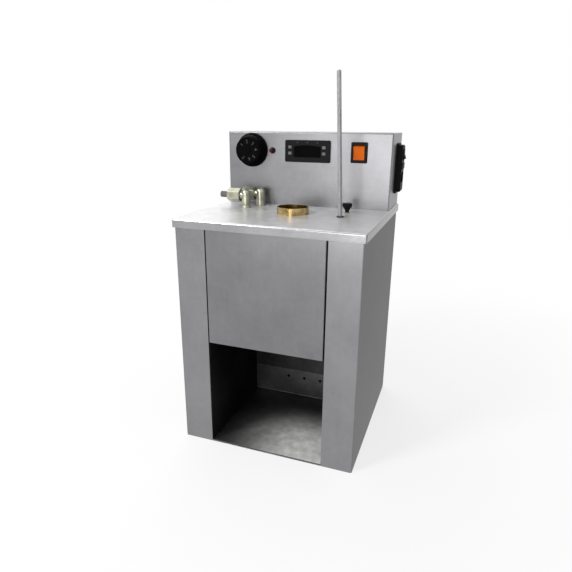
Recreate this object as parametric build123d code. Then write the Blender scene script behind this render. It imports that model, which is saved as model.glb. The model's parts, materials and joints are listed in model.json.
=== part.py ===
from build123d import *
import math
import os

# Redwood viscometer: a sheet steel cabinet with a water bath hung in its top half, a brass oil cup
# standing in the bath, a chamber below for the receiving flask, and a control box along the back.
# X runs to the right, Y to the back and Z up. The origin is on the bench, under the middle of the cabinet.

# Cabinet
cabinet_width = 280.0
cabinet_depth = 280.0
cabinet_height = 364.0  # bench to the top face of the top plate
sheet = 1.2
bend = 1.0  # inside radius of a fold
upright_width = 48.0
opening_height = 176.0
flange = 12.0  # width of a folded edge
rear_return = 18.0
panel_gap_left = 0.6
panel_gap_right = 2.2
panel_flange = 9.0

# Top plate
plate_sheet = 1.5
plate_overhang = 3.0
plate_lip = 12.5

# Chamber
tray_sheet = 1.0
tray_side_gap = 0.5
tray_back_height = 54.0
drain_hole_radius = 2.6
drain_hole_pitch = 31.0
drain_hole_height = 39.0
drain_hole_shift = 5.5

# Bath tank
tank_front_gap = 22.0
tank_rear_gap = 12.0
tank_side_gap = 23.8
tank_corner = 12.0
tank_rim = 10.0
gasket_thick = 1.3
stud_radius = 2.0
stud_clearance = 0.2
stud_end = 3.0  # thread left beyond the nut
nut_height = 3.2
nut_flats = 7.0
studs_per_side = 3
stud_end_inset = 18.0

# Oil cup
cup_bore = 46.5
cup_wall = 1.25
cup_collar_wall = 1.5
cup_stand = 10.5  # rim above the top plate
cup_depth = 90.0  # rim to the top of the jet
cup_floor = 4.0
cup_dish = 2.0
cup_shift_x = 4.0
cup_shift_y = 12.0
cup_plate_gap = 0.3
boss_radius = 9.0
boss_length = 15.0
boss_relief = 6.0
washer_thick = 1.0
washer_radius = 16.0
gland_nut_flats = 24.0
gland_nut_height = 6.0
jet_radius = 4.5
jet_length = 10.0
jet_bore = 1.62
seat_ball_radius = 3.4
index_height = 82.5  # tip of the level pointer above the jet
index_reach = 6.0
index_wire = 1.6

# Heater and sensor
heater_radius = 4.0
heater_half_span_gap = 60.0
heater_front_gap = 38.0
heater_above_floor = 11.5
heater_tail = 14.0  # sheath behind the tank's rear wall
heater_pin_radius = 1.5
heater_pin_length = 12.0
heater_turn = 20.0
gland_radius = 6.0
gland_flats = 17.0
gland_head = 4.0
sensor_radius = 2.5
sensor_reach = 72.0
sensor_x = -45.0
sensor_above_loop = 18.0
sensor_gland_radius = 4.0
sensor_gland_flats = 12.0
sensor_gland_head = 5.0

# Cooling loop and hose fittings
tube_radius = 4.0
tube_wall = 1.0
tube_turn = 12.0
loop_above_heater = 27.0
loop_front_gap = 26.0
loop_right_gap = 63.0
fitting_front_left_gap = 28.0
fitting_front_rear_gap = 38.0
fitting_rear_left_gap = 42.0
fitting_rear_rear_gap = 10.0
elbow_radius = 7.3
elbow_foot_radius = 8.0
elbow_foot = 1.5
elbow_axis_height = 19.5
elbow_top = 29.0
neck_radius = 6.5
neck_length = 9.0
spigot_radius = 6.0
spigot_length = 9.0
shank_radius = 5.0
shank_length = 8.0
back_nut_flats = 13.0
back_nut_height = 4.0
union_flats = 19.0
union_length = 21.5
tail_radius = 5.0
tail_length = 14.5  # tail showing beyond the union nut
tail_neck_radius = 4.4  # where the tail passes the union nut
tail_neck_out = 1.0
tail_collar_radius = 5.9
tail_collar = 2.0
water_bore = 3.0

# Stirrer
stirrer_right_gap = 33.5
stirrer_rear_gap = 28.0
stirrer_shaft_radius = 2.0
stirrer_floor_gap = 14.0
bush_flange_radius = 4.4
bush_flange = 0.8
bush_radius = 3.4
bush_tail = 8.5
knob_gap = 0.3
knob_bore_depth = 11.0
knob_top_radius = 7.6
knob_foot_radius = 3.0
knob_height = 14.0
knob_flutes = 12
paddle_radius = 20.0
paddle_hub_radius = 5.0
paddle_hub_height = 9.0
paddle_blades = 4
paddle_blade_height = 9.0
paddle_blade_thick = 1.2
paddle_pitch = 30.0
collar_radius = 5.5
collar_height = 6.0

# Thermometer
thermometer_radius = 3.2
thermometer_above = 204.0
thermometer_lean = 2.9  # degrees, the top leaning to the left
thermometer_right_gap = 34.5
thermometer_before_cup = 4.0
bulb_radius = 2.5
bulb_length = 12.0
bulb_floor_gap = 10.5
capillary_radius = 0.8
column_radius = 0.75
column_share = 0.62
grommet_radius = 5.6
grommet_lip = 1.6
grommet_neck = 4.6

# Control box
box_height = 119.5
box_depth = 94.0
control_drop = 30.0  # box top to the middle line of the controls
wire_hole_radius = 9.0
wire_hole_x = -30.0
wire_hole_from_back = 30.0

# Dial and energy regulator
dial_off_middle = 0.75  # dial and lamp to the left of the middle of the room beside the controller
dial_radius = 27.5
dial_depth = 21.0
dial_skirt = 3.0
dial_face_radius = 20.5
dial_gap = 1.0
dial_hollow = 2.2
dial_flutes = 20
dial_face_recess = 0.8
regulator_size = 34.0
blade_terminal = (0.8, 6.3)  # flat push-on terminal, thickness and width
regulator_length = 42.0
regulator_bush_radius = 5.0
regulator_bush_reach = 2.2
regulator_shaft_radius = 3.0
regulator_shaft_reach = 14.0
regulator_shaft_hidden = 12.0

# Pilot lamp
lamp_gap = 3.6
lamp_bezel_radius = 5.2
lamp_bezel = 1.6
lamp_lens_radius = 4.3
lamp_lens_out = 10.5
lamp_body_radius = 4.0
lamp_body_length = 28.0

# Temperature controller
controller_x = 2.4
controller_width = 77.0
controller_height = 35.0
controller_bezel = 4.0
controller_body_width = 70.6
controller_body_height = 28.8
controller_body_length = 58.0
window_width = 46.0
window_height = 19.0
window_recess = 0.6
window_thick = 1.4
button_width = 5.8
button_height = 4.6
button_stand = 1.2
button_length = 3.0
button_column_left = -29.5
button_column_right = 28.3
button_row_high = 6.4
button_row_low = -3.3
button_gap = 0.2
bracket_length = 30.0
bracket_height = 12.0
bracket_thick = 3.0

# Rocker switch on the panel
switch_right_gap = 52.3  # switch's middle line from the box's right side
switch_bezel_width = 26.7
switch_bezel_height = 32.2
switch_bezel = 2.2
switch_body_width = 24.0
switch_body_height = 29.4
switch_body_length = 30.0
switch_rocker_width = 17.2
switch_rocker_height = 22.4
switch_rocker_stand = 2.0
rocker_tilt = 10.0
rocker_pivot_share = 0.275  # depth of the pivot below the face, as a share of the rocker's height
rocker_side_gap = 0.3
trunnion_radius = 1.4
trunnion_reach = 1.2

# Mains inlet on the right side
inlet_from_back = 37.0
inlet_above_plate = 63.3
inlet_width = 36.0
inlet_height = 81.0
inlet_flange = 3.5
inlet_corner = 8.0
inlet_face_out = 10.0
inlet_face_width = 31.0
inlet_face_inset = 2.8  # raised face short of the flange's two ends
inlet_body_width = 27.4
inlet_body_top = 33.0
inlet_body_bottom = -29.0
inlet_body_length = 30.0
inlet_clip_height = 10.0
inlet_clip_out = 1.2
inlet_clip_length = 7.0
inlet_clip_v = 16.0
inlet_rocker_width = 14.0
inlet_rocker_height = 17.6
inlet_rocker_v = 22.0
inlet_rocker_stand = 2.6
drawer_width = 22.0
drawer_height = 8.0
drawer_v = 4.5
drawer_length = 26.0
drawer_plate = 1.2
drawer_gap = 0.2
socket_width = 24.4
socket_height = 16.6
socket_v = -14.0
socket_depth = 16.0
socket_bevel = 4.5
pin_width = 2.0
pin_height = 4.0
pin_spacing = 14.0
pin_earth_rise = 3.5
pin_sunk = 5.0
pin_tail = 8.0
pin_row_drop = 1.5  # line of the two side pins under the recess's middle

# Cover screws
screw_radius = 2.0
screw_head_radius = 4.0
screw_head = 2.4
screw_length = 8.0
screw_clearance = 0.2
cover_screw_inset = 9.0
cover_screw_end = 30.0
box_screw_end = 20.0
vent_slots = 7
vent_slot_length = 60.0
vent_slot_height = 4.0
vent_slot_pitch = 12.0
vent_slot_top = 60.0

# Terminal block
terminal_ways = 6
terminal_pitch = 10.0
terminal_width = 18.0
terminal_height = 16.0
terminal_x = -40.0
terminal_from_back = 62.0

fit = 0.05  # radial clearance of a running fit
slip = 0.2  # clearance of a part through a hole that it does not turn in

# Places worked out from the sizes above
half_width = cabinet_width / 2
front = -cabinet_depth / 2
back = cabinet_depth / 2
plate_under = cabinet_height - plate_sheet
inner_side = half_width - sheet
chamber_half = half_width - upright_width
panel_face = back - box_depth
box_top = cabinet_height + box_height
control_z = box_top - control_drop

tank_half = inner_side - tank_side_gap
tank_front = front + tank_front_gap
tank_rear = panel_face - tank_rear_gap
tank_rim_top = plate_under - gasket_thick
cup_x = cup_shift_x
cup_y = (tank_front + tank_rear) / 2 + cup_shift_y
cup_rim = cabinet_height + cup_stand
jet_top = cup_rim - cup_depth
cup_shoulder = jet_top - cup_floor
tank_floor = cup_shoulder - washer_thick
tank_under = tank_floor - sheet
jet_under = jet_top - jet_length
boss_end = cup_shoulder - boss_length

heater_z = tank_floor + heater_above_floor
heater_half = tank_half - heater_half_span_gap
loop_z = heater_z + loop_above_heater
sensor_z = loop_z + sensor_above_loop
fitting_front = (fitting_front_left_gap - tank_half, tank_rear - fitting_front_rear_gap)
fitting_rear = (fitting_rear_left_gap - tank_half, tank_rear - fitting_rear_rear_gap)
stirrer_x = tank_half - stirrer_right_gap
stirrer_y = tank_rear - stirrer_rear_gap
thermometer_x = tank_half - thermometer_right_gap
thermometer_y = cup_y - thermometer_before_cup
dial_room = half_width + controller_x - controller_width / 2
dial_and_lamp = 2 * (dial_radius + lamp_bezel_radius) + lamp_gap
dial_x = (dial_room - dial_and_lamp) / 2 - dial_off_middle + dial_radius - half_width
switch_x = half_width - switch_right_gap
lamp_x = dial_x + dial_radius + lamp_gap + lamp_bezel_radius
inlet_y = back - inlet_from_back
inlet_z = cabinet_height + inlet_above_plate
drain_holes_x = [drain_hole_shift + i * drain_hole_pitch for i in (-1, 0, 1)]


def block(x, y, z):
    """Block between two limits along each axis."""
    size = [abs(b - a) for a, b in (x, y, z)]
    middle = [(a + b) / 2 for a, b in (x, y, z)]
    return Pos(*middle) * Box(*size)


def rod(radius, x, y, z):
    """Upright round bar between two heights, z = (low, high)."""
    return Pos(x, y, (z[0] + z[1]) / 2) * Cylinder(radius, abs(z[1] - z[0]))


def bent_sheet(path, thickness, length, side=Side.LEFT):
    """Sheet folded along a flat path, its outer face on the path, drawn out along Z."""
    outline = FilletPolyline(*path, radius=bend + thickness)
    return extrude(make_face(offset(outline, amount=thickness, side=side, closed=True)), length)


def hex_bar(flats, height):
    """Hexagonal bar standing on the XY plane, its corners eased as on a turned nut."""
    corner = flats / math.sqrt(3)
    bar = extrude(RegularPolygon(corner, 6), height)
    ease = (corner - flats / 2) * 0.6
    cone = revolve(make_face(Polyline(
        (0, 0, 0), (corner - ease, 0, 0), (corner, 0, ease * 0.6), (corner, 0, height - ease * 0.6),
        (corner - ease, 0, height), (0, 0, height), close=True)), axis=Axis.Z)
    return bar & cone


def turned(points):
    """Solid of revolution about Z from (radius, height) points."""
    return revolve(make_face(Polyline(*[(r, 0, z) for r, z in points], close=True)), axis=Axis.Z)


def on_panel(x, z, shape):
    """Shape drawn with Z out of the control panel's face, put at its place there."""
    return Plane(origin=(x, panel_face, z), x_dir=(1, 0, 0), z_dir=(0, -1, 0)) * shape


def on_side(y, z, shape):
    """Shape drawn with Z out of the control box's right side, put at its place there."""
    return Plane(origin=(half_width, y, z), x_dir=(0, 1, 0), z_dir=(1, 0, 0)) * shape


def on_back(x, z, shape):
    """Shape drawn with Z out of the back, put at its place there."""
    return Plane(origin=(x, back, z), x_dir=(-1, 0, 0), z_dir=(0, 1, 0)) * shape


def cover_screw_places():
    """Screws of the rear cover and of the control box's back cover, as (x, z)."""
    side = half_width - cover_screw_inset
    low, high = cover_screw_end, plate_under - cover_screw_end
    heights = (low, (low + high) / 2, high)
    heights += (cabinet_height + box_screw_end, box_top - box_screw_end)
    return [(s * side, z) for z in heights for s in (-1, 1)]


def side_shell(s):
    path = [
        (s * chamber_half, front), (s * half_width, front),
        (s * half_width, back - sheet), (s * (half_width - rear_return), back - sheet)]
    side = Side.LEFT if s > 0 else Side.RIGHT
    shell = bent_sheet(path, sheet, plate_under, side)
    shell += block(
        (s * inner_side, s * (inner_side - flange)), (front + 2 * flange, back - 2 * flange),
        (plate_under - sheet, plate_under))
    for x, z in cover_screw_places():
        if x * s > 0 and z < plate_under:
            shell -= on_back(x, z, Cylinder(screw_radius + fit, 6 * sheet))
    return shell


def base_plate():
    y = (front + sheet, back - 2 * sheet)
    plate = block((-inner_side, inner_side), y, (0, sheet))
    plate = fillet(plate.edges().filter_by(Axis.Z), bend + slip)
    plate += block((-chamber_half, chamber_half), (front, y[0]), (0, sheet))
    for s in (-1, 1):
        wall = (s * inner_side, s * (inner_side - sheet))
        plate += block(wall, (y[0] + flange, y[1] - flange), (0, flange))
    plate += block((-chamber_half, chamber_half), (y[1] - sheet, y[1]), (0, flange))
    return plate


def rear_cover():
    cover = block((-half_width, half_width), (back - sheet, back), (sheet, plate_under))
    for x, z in cover_screw_places():
        if z < plate_under:
            cover -= on_back(x, z, Cylinder(screw_radius + screw_clearance, 4 * sheet))
    slot = SlotOverall(vent_slot_length, vent_slot_height)
    for column in (-1, 1):
        for i in range(vent_slots):
            z = plate_under - vent_slot_top - i * vent_slot_pitch
            cover -= on_back(column * vent_slot_length * 0.75, z, extrude(slot, 2 * sheet, both=True))
    return cover


def cover_screw():
    dome = turned([
        (0, 0), (screw_head_radius, 0), (screw_head_radius, screw_head * 0.4),
        (screw_head_radius * 0.82, screw_head * 0.85), (screw_head_radius * 0.5, screw_head),
        (0, screw_head)])
    shank = Pos(0, 0, -screw_length / 2) * Cylinder(screw_radius, screw_length)
    slot_width = screw_radius * 0.45
    cross = Box(screw_radius * 2, slot_width, screw_head) + Box(slot_width, screw_radius * 2, screw_head)
    return dome + shank - Pos(0, 0, screw_head) * cross


def cover_screws():
    screw = cover_screw()
    return Part() + [on_back(x, z, screw) for x, z in cover_screw_places()]


def chamber_side(s):
    path = [
        (s * (chamber_half + flange), front + sheet), (s * chamber_half, front + sheet),
        (s * chamber_half, panel_face)]
    side = Side.RIGHT if s > 0 else Side.LEFT
    wall = Pos(0, 0, sheet) * bent_sheet(path, sheet, tank_under - sheet, side)
    ledge = (s * (chamber_half + sheet), s * (chamber_half + flange))
    return wall + block(ledge, (tank_front, tank_rear), (tank_under - sheet, tank_under))


def drain_hole(x):
    return Plane(origin=(x, panel_face, drain_hole_height), z_dir=(0, 1, 0)) * Cylinder(
        drain_hole_radius, flange)


def chamber_back():
    path = [
        (-inner_side, panel_face + flange), (-inner_side, panel_face),
        (inner_side, panel_face), (inner_side, panel_face + flange)]
    wall = Pos(0, 0, sheet) * bent_sheet(path, sheet, plate_under - sheet, Side.LEFT)
    for s in (-1, 1):
        notch = (s * (inner_side - sheet - slip), s * half_width)
        wall -= block(notch, (panel_face - 1, panel_face + 2 * flange), (0, flange + slip))
        ledge = (s * (inner_side - flange - slip), s * half_width)
        wall -= block(
            ledge, (panel_face - 1, panel_face + 2 * flange), (plate_under - sheet - slip, plate_under))
        hole = rod(gland_radius + 2, 0, 0, (-flange, flange))
        wall -= Plane(origin=(s * heater_half, panel_face, heater_z), z_dir=(0, 1, 0)) * hole
    wall -= Plane(origin=(sensor_x, panel_face, sensor_z), z_dir=(0, 1, 0)) * rod(
        sensor_radius + 2, 0, 0, (-flange, flange))
    for x in drain_holes_x:
        wall -= drain_hole(x)
    return wall


def chamber_floor():
    half = chamber_half - tray_side_gap
    path = [(front + sheet, sheet), (panel_face, sheet), (panel_face, tray_back_height)]
    profile = bent_sheet(path, tray_sheet, 2 * half, Side.LEFT)
    tray = Plane(origin=(-half, 0, 0), x_dir=(0, 1, 0), z_dir=(1, 0, 0)) * profile
    for x in drain_holes_x:
        tray -= drain_hole(x)
    return tray


def front_panel():
    left = -chamber_half + panel_gap_left
    right = chamber_half - panel_gap_right
    path = [
        (left, front + panel_flange), (left, front), (right, front), (right, front + panel_flange)]
    panel = Pos(0, 0, opening_height) * bent_sheet(path, sheet, plate_under - opening_height, Side.LEFT)
    for z in ((opening_height, opening_height + sheet), (plate_under - sheet, plate_under)):
        panel += block((left + sheet, right - sheet), (front + sheet / 2, front + panel_flange), z)
    return panel


def top_plate():
    reach = half_width + plate_overhang
    outer = block(
        (-reach, reach), (front - plate_overhang, back), (cabinet_height - plate_lip, cabinet_height))
    outer = fillet(
        outer.edges().filter_by(Axis.Z).sort_by(Axis.Y)[:2]
        + outer.faces().sort_by(Axis.Z)[-1].edges().sort_by(Axis.Y)[:3], bend + plate_sheet)
    inner = block(
        (-reach + plate_sheet, reach - plate_sheet), (front - plate_overhang + plate_sheet, back + flange),
        (cabinet_height - plate_lip - 1, plate_under))
    inner = fillet(
        inner.edges().filter_by(Axis.Z).sort_by(Axis.Y)[:2]
        + inner.faces().sort_by(Axis.Z)[-1].edges().sort_by(Axis.Y)[:3], bend)
    plate = outer - inner
    through = (plate_under - 1, cabinet_height + 1)
    plate -= rod(cup_bore / 2 + cup_wall + cup_plate_gap, cup_x, cup_y, through)
    plate -= rod(grommet_neck, thermometer_x, thermometer_y, through)
    plate -= rod(bush_radius + fit, stirrer_x, stirrer_y, through)
    for x, y in (fitting_front, fitting_rear):
        plate -= rod(shank_radius + slip, x, y, through)
    plate -= rod(wire_hole_radius, wire_hole_x, back - wire_hole_from_back, through)
    return plate


def stud_places():
    low, high = tank_front + stud_end_inset, tank_rear - stud_end_inset
    rows = [low + (high - low) * i / (studs_per_side - 1) for i in range(studs_per_side)]
    return [(s * (tank_half + tank_rim / 2), y) for s in (-1, 1) for y in rows]


def rim_outline(inner_gap, outer_gap, z):
    """Flat ring round the tank between two offsets from its outer wall."""
    width, depth = 2 * tank_half, tank_rear - tank_front
    middle = Pos(0, (tank_front + tank_rear) / 2, z[0])
    outer = RectangleRounded(width + 2 * outer_gap, depth + 2 * outer_gap, tank_corner + outer_gap)
    inner = RectangleRounded(width + 2 * inner_gap, depth + 2 * inner_gap, tank_corner + inner_gap)
    return middle * extrude(outer - inner, z[1] - z[0])


def bath_tank():
    width, depth = 2 * tank_half, tank_rear - tank_front
    middle = Pos(0, (tank_front + tank_rear) / 2, tank_under)
    height = tank_rim_top - tank_under
    tank = extrude(RectangleRounded(width, depth, tank_corner), height)
    tank = fillet(tank.faces().sort_by(Axis.Z)[0].edges(), bend + sheet)
    hollow = extrude(RectangleRounded(width - 2 * sheet, depth - 2 * sheet, tank_corner - sheet), height)
    hollow = fillet(hollow.faces().sort_by(Axis.Z)[0].edges(), bend)
    tank = middle * (tank - Pos(0, 0, sheet) * hollow)
    tank += rim_outline(-sheet, tank_rim, (tank_rim_top - sheet, tank_rim_top))
    tank -= rod(boss_radius + slip, cup_x, cup_y, (tank_under - 1, tank_floor + 1))
    rear_wall = (tank_rear - flange, tank_rear + 1)
    for x, z, radius in (
            (-heater_half, heater_z, gland_radius + slip), (heater_half, heater_z, gland_radius + slip),
            (sensor_x, sensor_z, sensor_gland_radius + slip)):
        tank -= Plane(origin=(x, 0, z), x_dir=(1, 0, 0), z_dir=(0, 1, 0)) * rod(radius, 0, 0, rear_wall)
    for x, y in stud_places():
        tank -= rod(stud_radius + stud_clearance, x, y, (tank_rim_top - 3 * sheet, tank_rim_top + 1))
    return tank


def bath_gasket():
    gasket = rim_outline(-sheet, tank_rim, (tank_rim_top, plate_under))
    for x, y in stud_places():
        gasket -= rod(stud_radius + stud_clearance, x, y, (tank_rim_top - 1, plate_under + 1))
    return gasket


def bath_studs():
    low = tank_rim_top - sheet - nut_height - stud_end
    return Part() + [rod(stud_radius, x, y, (low, plate_under)) for x, y in stud_places()]


def bath_nuts():
    nut = hex_bar(nut_flats, nut_height) - Cylinder(stud_radius + fit, 3 * nut_height)
    low = tank_rim_top - sheet - nut_height
    return Part() + [Pos(x, y, low) * nut for x, y in stud_places()]


def oil_cup():
    bore = cup_bore / 2
    outer = bore + cup_wall
    collar = bore + cup_collar_wall
    ease = cup_collar_wall * 0.35
    body = turned([
        (jet_radius + fit, jet_top), (bore, jet_top + cup_dish), (bore, cup_rim - ease),
        (bore + ease, cup_rim), (collar - ease, cup_rim), (collar, cup_rim - ease),
        (collar, cabinet_height), (outer, cabinet_height), (outer, cup_shoulder + bend),
        (outer - bend, cup_shoulder), (boss_radius, cup_shoulder), (boss_radius, boss_end + bend),
        (boss_radius - bend, boss_end), (boss_relief, boss_end), (boss_relief, jet_under),
        (jet_radius + fit, jet_under)])
    cup = Pos(cup_x, cup_y, 0) * body
    pin_hole = Plane(origin=(cup_x, cup_y + bore, pointer_foot()), z_dir=(0, 1, 0)) * Cylinder(
        index_wire / 2 + fit, 6 * cup_wall)
    return cup - pin_hole


def pointer_foot():
    return jet_top + index_height - 2 * index_reach


def level_pointer():
    """Bent wire in the far wall of the cup, its tip turned up to the filling level."""
    wall = cup_y + cup_bore / 2
    foot = pointer_foot()
    tip = jet_top + index_height
    taper = index_reach * 0.8
    path = FilletPolyline(
        (cup_x, wall + cup_wall, foot), (cup_x, wall - index_reach, foot),
        (cup_x, wall - index_reach, tip - taper), radius=index_wire)
    section = Plane(origin=(cup_x, wall + cup_wall, foot), z_dir=(0, -1, 0)) * Circle(index_wire / 2)
    wire = sweep(section, path=path)
    point = turned([(0, 0), (index_wire / 2, 0), (index_wire / 10, taper), (0, taper)])
    return wire + Pos(cup_x, wall - index_reach, tip - taper) * point


def cup_washer():
    ring = Cylinder(washer_radius, washer_thick) - Cylinder(boss_radius + slip, 3 * washer_thick)
    return Pos(cup_x, cup_y, cup_shoulder - washer_thick / 2) * ring


def cup_gland_nut():
    nut = hex_bar(gland_nut_flats, gland_nut_height) - Cylinder(boss_radius + fit, 3 * gland_nut_height)
    return Pos(cup_x, cup_y, tank_under - gland_nut_height) * nut


def agate_jet():
    """Jet with a fine bore, a round seat on top for a ball and an eased lower end."""
    ease = jet_radius * 0.25
    body = turned([
        (0, 0), (jet_radius - ease, 0), (jet_radius, ease), (jet_radius, jet_length), (0, jet_length)])
    body -= Cylinder(jet_bore / 2, 3 * jet_length)
    sunk = math.sqrt(seat_ball_radius ** 2 - (seat_ball_radius * 0.75) ** 2)
    body -= Pos(0, 0, jet_length + sunk) * Sphere(seat_ball_radius)
    return Pos(cup_x, cup_y, jet_under) * body


def heater_element():
    end = tank_rear + heater_tail
    turn_y = tank_front + heater_front_gap
    path = FilletPolyline(
        (-heater_half, end, heater_z), (-heater_half, turn_y, heater_z),
        (heater_half, turn_y, heater_z), (heater_half, end, heater_z), radius=heater_turn)
    section = Plane(origin=(-heater_half, end, heater_z), z_dir=(0, -1, 0)) * Circle(heater_radius)
    element = sweep(section, path=path)
    for s in (-1, 1):
        pin = rod(heater_pin_radius, 0, 0, (-1, heater_pin_length))
        element += Plane(origin=(s * heater_half, end, heater_z), z_dir=(0, 1, 0)) * pin
    return element


def through_wall(flats, head, radius, bore, inside):
    """Threaded gland with its hexagon against one face of the tank's rear wall; Z points to the back."""
    length = sheet + 2 * head
    body = hex_bar(flats, head)
    body += Pos(0, 0, head + length / 2) * Cylinder(radius, length) if inside else Part()
    return body - Cylinder(bore, 8 * head)


def heater_glands():
    gland = through_wall(gland_flats, gland_head, gland_radius, heater_radius + fit, True)
    y = tank_rear - sheet - gland_head
    return Part() + [
        Plane(origin=(s * heater_half, y, heater_z), z_dir=(0, 1, 0)) * gland for s in (-1, 1)]


def heater_nuts():
    nut = through_wall(gland_flats, gland_head, gland_radius, gland_radius + fit, False)
    return Part() + [
        Plane(origin=(s * heater_half, tank_rear, heater_z), z_dir=(0, 1, 0)) * nut for s in (-1, 1)]


def sensor_probe():
    probe = turned([
        (0, 0), (sensor_radius * 0.6, 0), (sensor_radius, sensor_radius * 0.5),
        (sensor_radius, sensor_reach + heater_tail), (0, sensor_reach + heater_tail)])
    return Plane(origin=(sensor_x, tank_rear - sensor_reach, sensor_z), z_dir=(0, 1, 0)) * probe


def sensor_gland():
    gland = hex_bar(sensor_gland_flats, sensor_gland_head)
    tail = sheet + sensor_gland_head
    gland += Pos(0, 0, -tail / 2) * Cylinder(sensor_gland_radius, tail)
    gland -= Cylinder(sensor_radius + fit, 8 * sensor_gland_head)
    return Plane(origin=(sensor_x, tank_rear, sensor_z), z_dir=(0, 1, 0)) * gland


def cooling_loop():
    """Tube down from one fitting, once round the bath and up to the other."""
    top = cabinet_height + elbow_foot
    front_y = tank_front + loop_front_gap
    right_x = tank_half - loop_right_gap
    start_x, start_y = fitting_front
    end_x, end_y = fitting_rear
    path = FilletPolyline(
        (start_x, start_y, top), (start_x, start_y, loop_z), (start_x, front_y, loop_z),
        (right_x, front_y, loop_z), (right_x, end_y, loop_z), (end_x, end_y, loop_z), (end_x, end_y, top),
        radius=tube_turn)
    section = Pos(start_x, start_y, top) * (Circle(tube_radius) - Circle(tube_radius - tube_wall))
    return sweep(section, path=path)


def elbow():
    """Angle fitting: shank below the plate, foot, domed body and a threaded spigot to the left."""
    low = -plate_sheet - shank_length
    dome = (elbow_top - elbow_axis_height) * 0.6
    body = turned([
        (0, low), (shank_radius, low), (shank_radius, 0), (elbow_foot_radius, 0),
        (elbow_foot_radius, elbow_foot), (elbow_radius, elbow_foot + 1), (elbow_radius, elbow_top - dome),
        (elbow_radius * 0.93, elbow_top - dome * 0.6), (elbow_radius * 0.75, elbow_top - dome * 0.25),
        (elbow_radius * 0.45, elbow_top), (0, elbow_top)])
    body += to_the_left(rod(neck_radius, 0, 0, (0, neck_length)))
    body += to_the_left(rod(spigot_radius, 0, 0, (neck_length, neck_length + spigot_length)))
    body -= rod(water_bore, 0, 0, (low - 1, elbow_axis_height))
    body -= rod(tube_radius + fit, 0, 0, (low - 1, elbow_foot))
    return body - to_the_left(rod(water_bore, 0, 0, (0, neck_length + spigot_length + 1)))


def to_the_left(shape):
    """Shape drawn upright on the plate, laid along a fitting's outlet."""
    return Plane(origin=(0, 0, elbow_axis_height), z_dir=(-1, 0, 0)) * shape


def at_fittings(shape, z=0.0):
    """The same piece at both hose fittings."""
    return Part() + [Pos(x, y, cabinet_height + z) * shape for x, y in (fitting_front, fitting_rear)]


def hose_elbows():
    return at_fittings(elbow())


def elbow_back_nuts():
    nut = hex_bar(back_nut_flats, back_nut_height) - Cylinder(shank_radius + fit, 3 * back_nut_height)
    return at_fittings(nut, -plate_sheet - back_nut_height)


def union_nuts():
    """Nuts that draw the tail's collar against the spigot."""
    shoulder = spigot_length + tail_collar
    nut = hex_bar(union_flats, union_length)
    nut -= rod(spigot_radius + fit, 0, 0, (-1, shoulder))
    nut -= rod(tail_neck_radius + fit, 0, 0, (0, union_length + 1))
    return at_fittings(to_the_left(Pos(0, 0, neck_length) * nut))


def hose_tails():
    start = neck_length + spigot_length
    collar_end = start + tail_collar
    neck_end = neck_length + union_length + tail_neck_out
    end = neck_length + union_length + tail_length
    ease = tail_radius * 0.2
    tail = turned([
        (water_bore, start), (tail_collar_radius, start), (tail_collar_radius, collar_end),
        (tail_neck_radius, collar_end), (tail_neck_radius, neck_end), (tail_radius, neck_end),
        (tail_radius, end - ease), (tail_radius - ease, end), (water_bore, end)])
    return at_fittings(to_the_left(tail))


def stirrer_bush():
    bush = turned([
        (stirrer_shaft_radius + fit, -plate_sheet - bush_tail), (bush_radius, -plate_sheet - bush_tail),
        (bush_radius, 0), (bush_flange_radius, 0), (bush_flange_radius, bush_flange * 0.6),
        (bush_flange_radius - bush_flange * 0.4, bush_flange), (stirrer_shaft_radius + fit, bush_flange)])
    return Pos(stirrer_x, stirrer_y, cabinet_height) * bush


def stirrer_knob():
    low = bush_flange + knob_gap
    top = low + knob_height
    edge = knob_top_radius * 0.14
    knob = turned([
        (0, low), (knob_foot_radius, low), (knob_foot_radius * 1.1, low + knob_height * 0.2),
        (knob_top_radius, top - knob_height * 0.3), (knob_top_radius, top - edge),
        (knob_top_radius - edge, top), (0, top)])
    flute = Cylinder(edge * 1.5, knob_height * 0.7)
    flute = Pos(knob_top_radius + edge, 0, top - knob_height * 0.25) * flute
    for i in range(knob_flutes):
        knob -= Rot(0, 0, i * 360 / knob_flutes) * flute
    knob -= rod(stirrer_shaft_radius + fit, 0, 0, (low - 1, low + knob_bore_depth))
    return Pos(stirrer_x, stirrer_y, cabinet_height) * knob


def stirrer_shaft():
    low = tank_floor + stirrer_floor_gap
    high = cabinet_height + bush_flange + knob_gap + knob_bore_depth - slip
    return rod(stirrer_shaft_radius, stirrer_x, stirrer_y, (low, high))


def stirrer_paddle():
    low = tank_floor + stirrer_floor_gap + 1
    blade_out = paddle_radius - paddle_hub_radius / 2
    blade = Pos(paddle_hub_radius / 2 + blade_out / 2, 0, 0) * (
        Rot(paddle_pitch, 0, 0) * Box(blade_out, paddle_blade_thick, paddle_blade_height))
    paddle = Cylinder(paddle_hub_radius, paddle_hub_height)
    for i in range(paddle_blades):
        paddle += Rot(0, 0, i * 360 / paddle_blades) * blade
    paddle -= Cylinder(stirrer_shaft_radius + fit, 3 * paddle_hub_height)
    return Pos(stirrer_x, stirrer_y, low + paddle_hub_height / 2) * paddle


def stirrer_collar():
    top = cabinet_height - plate_sheet - bush_tail - knob_gap
    collar = Cylinder(collar_radius, collar_height) - Cylinder(stirrer_shaft_radius + fit, 3 * collar_height)
    screw_hole = Rot(0, 90, 0) * rod(stirrer_shaft_radius * 0.5, 0, 0, (0, 2 * collar_radius))
    return Pos(stirrer_x, stirrer_y, top - collar_height / 2) * (collar - screw_hole)


def along_thermometer(shape):
    """Shape drawn upright with Z = 0 at the plate's top face, leaned as the thermometer leans."""
    return Pos(thermometer_x, thermometer_y, cabinet_height) * (Rot(0, -thermometer_lean, 0) * shape)


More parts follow.
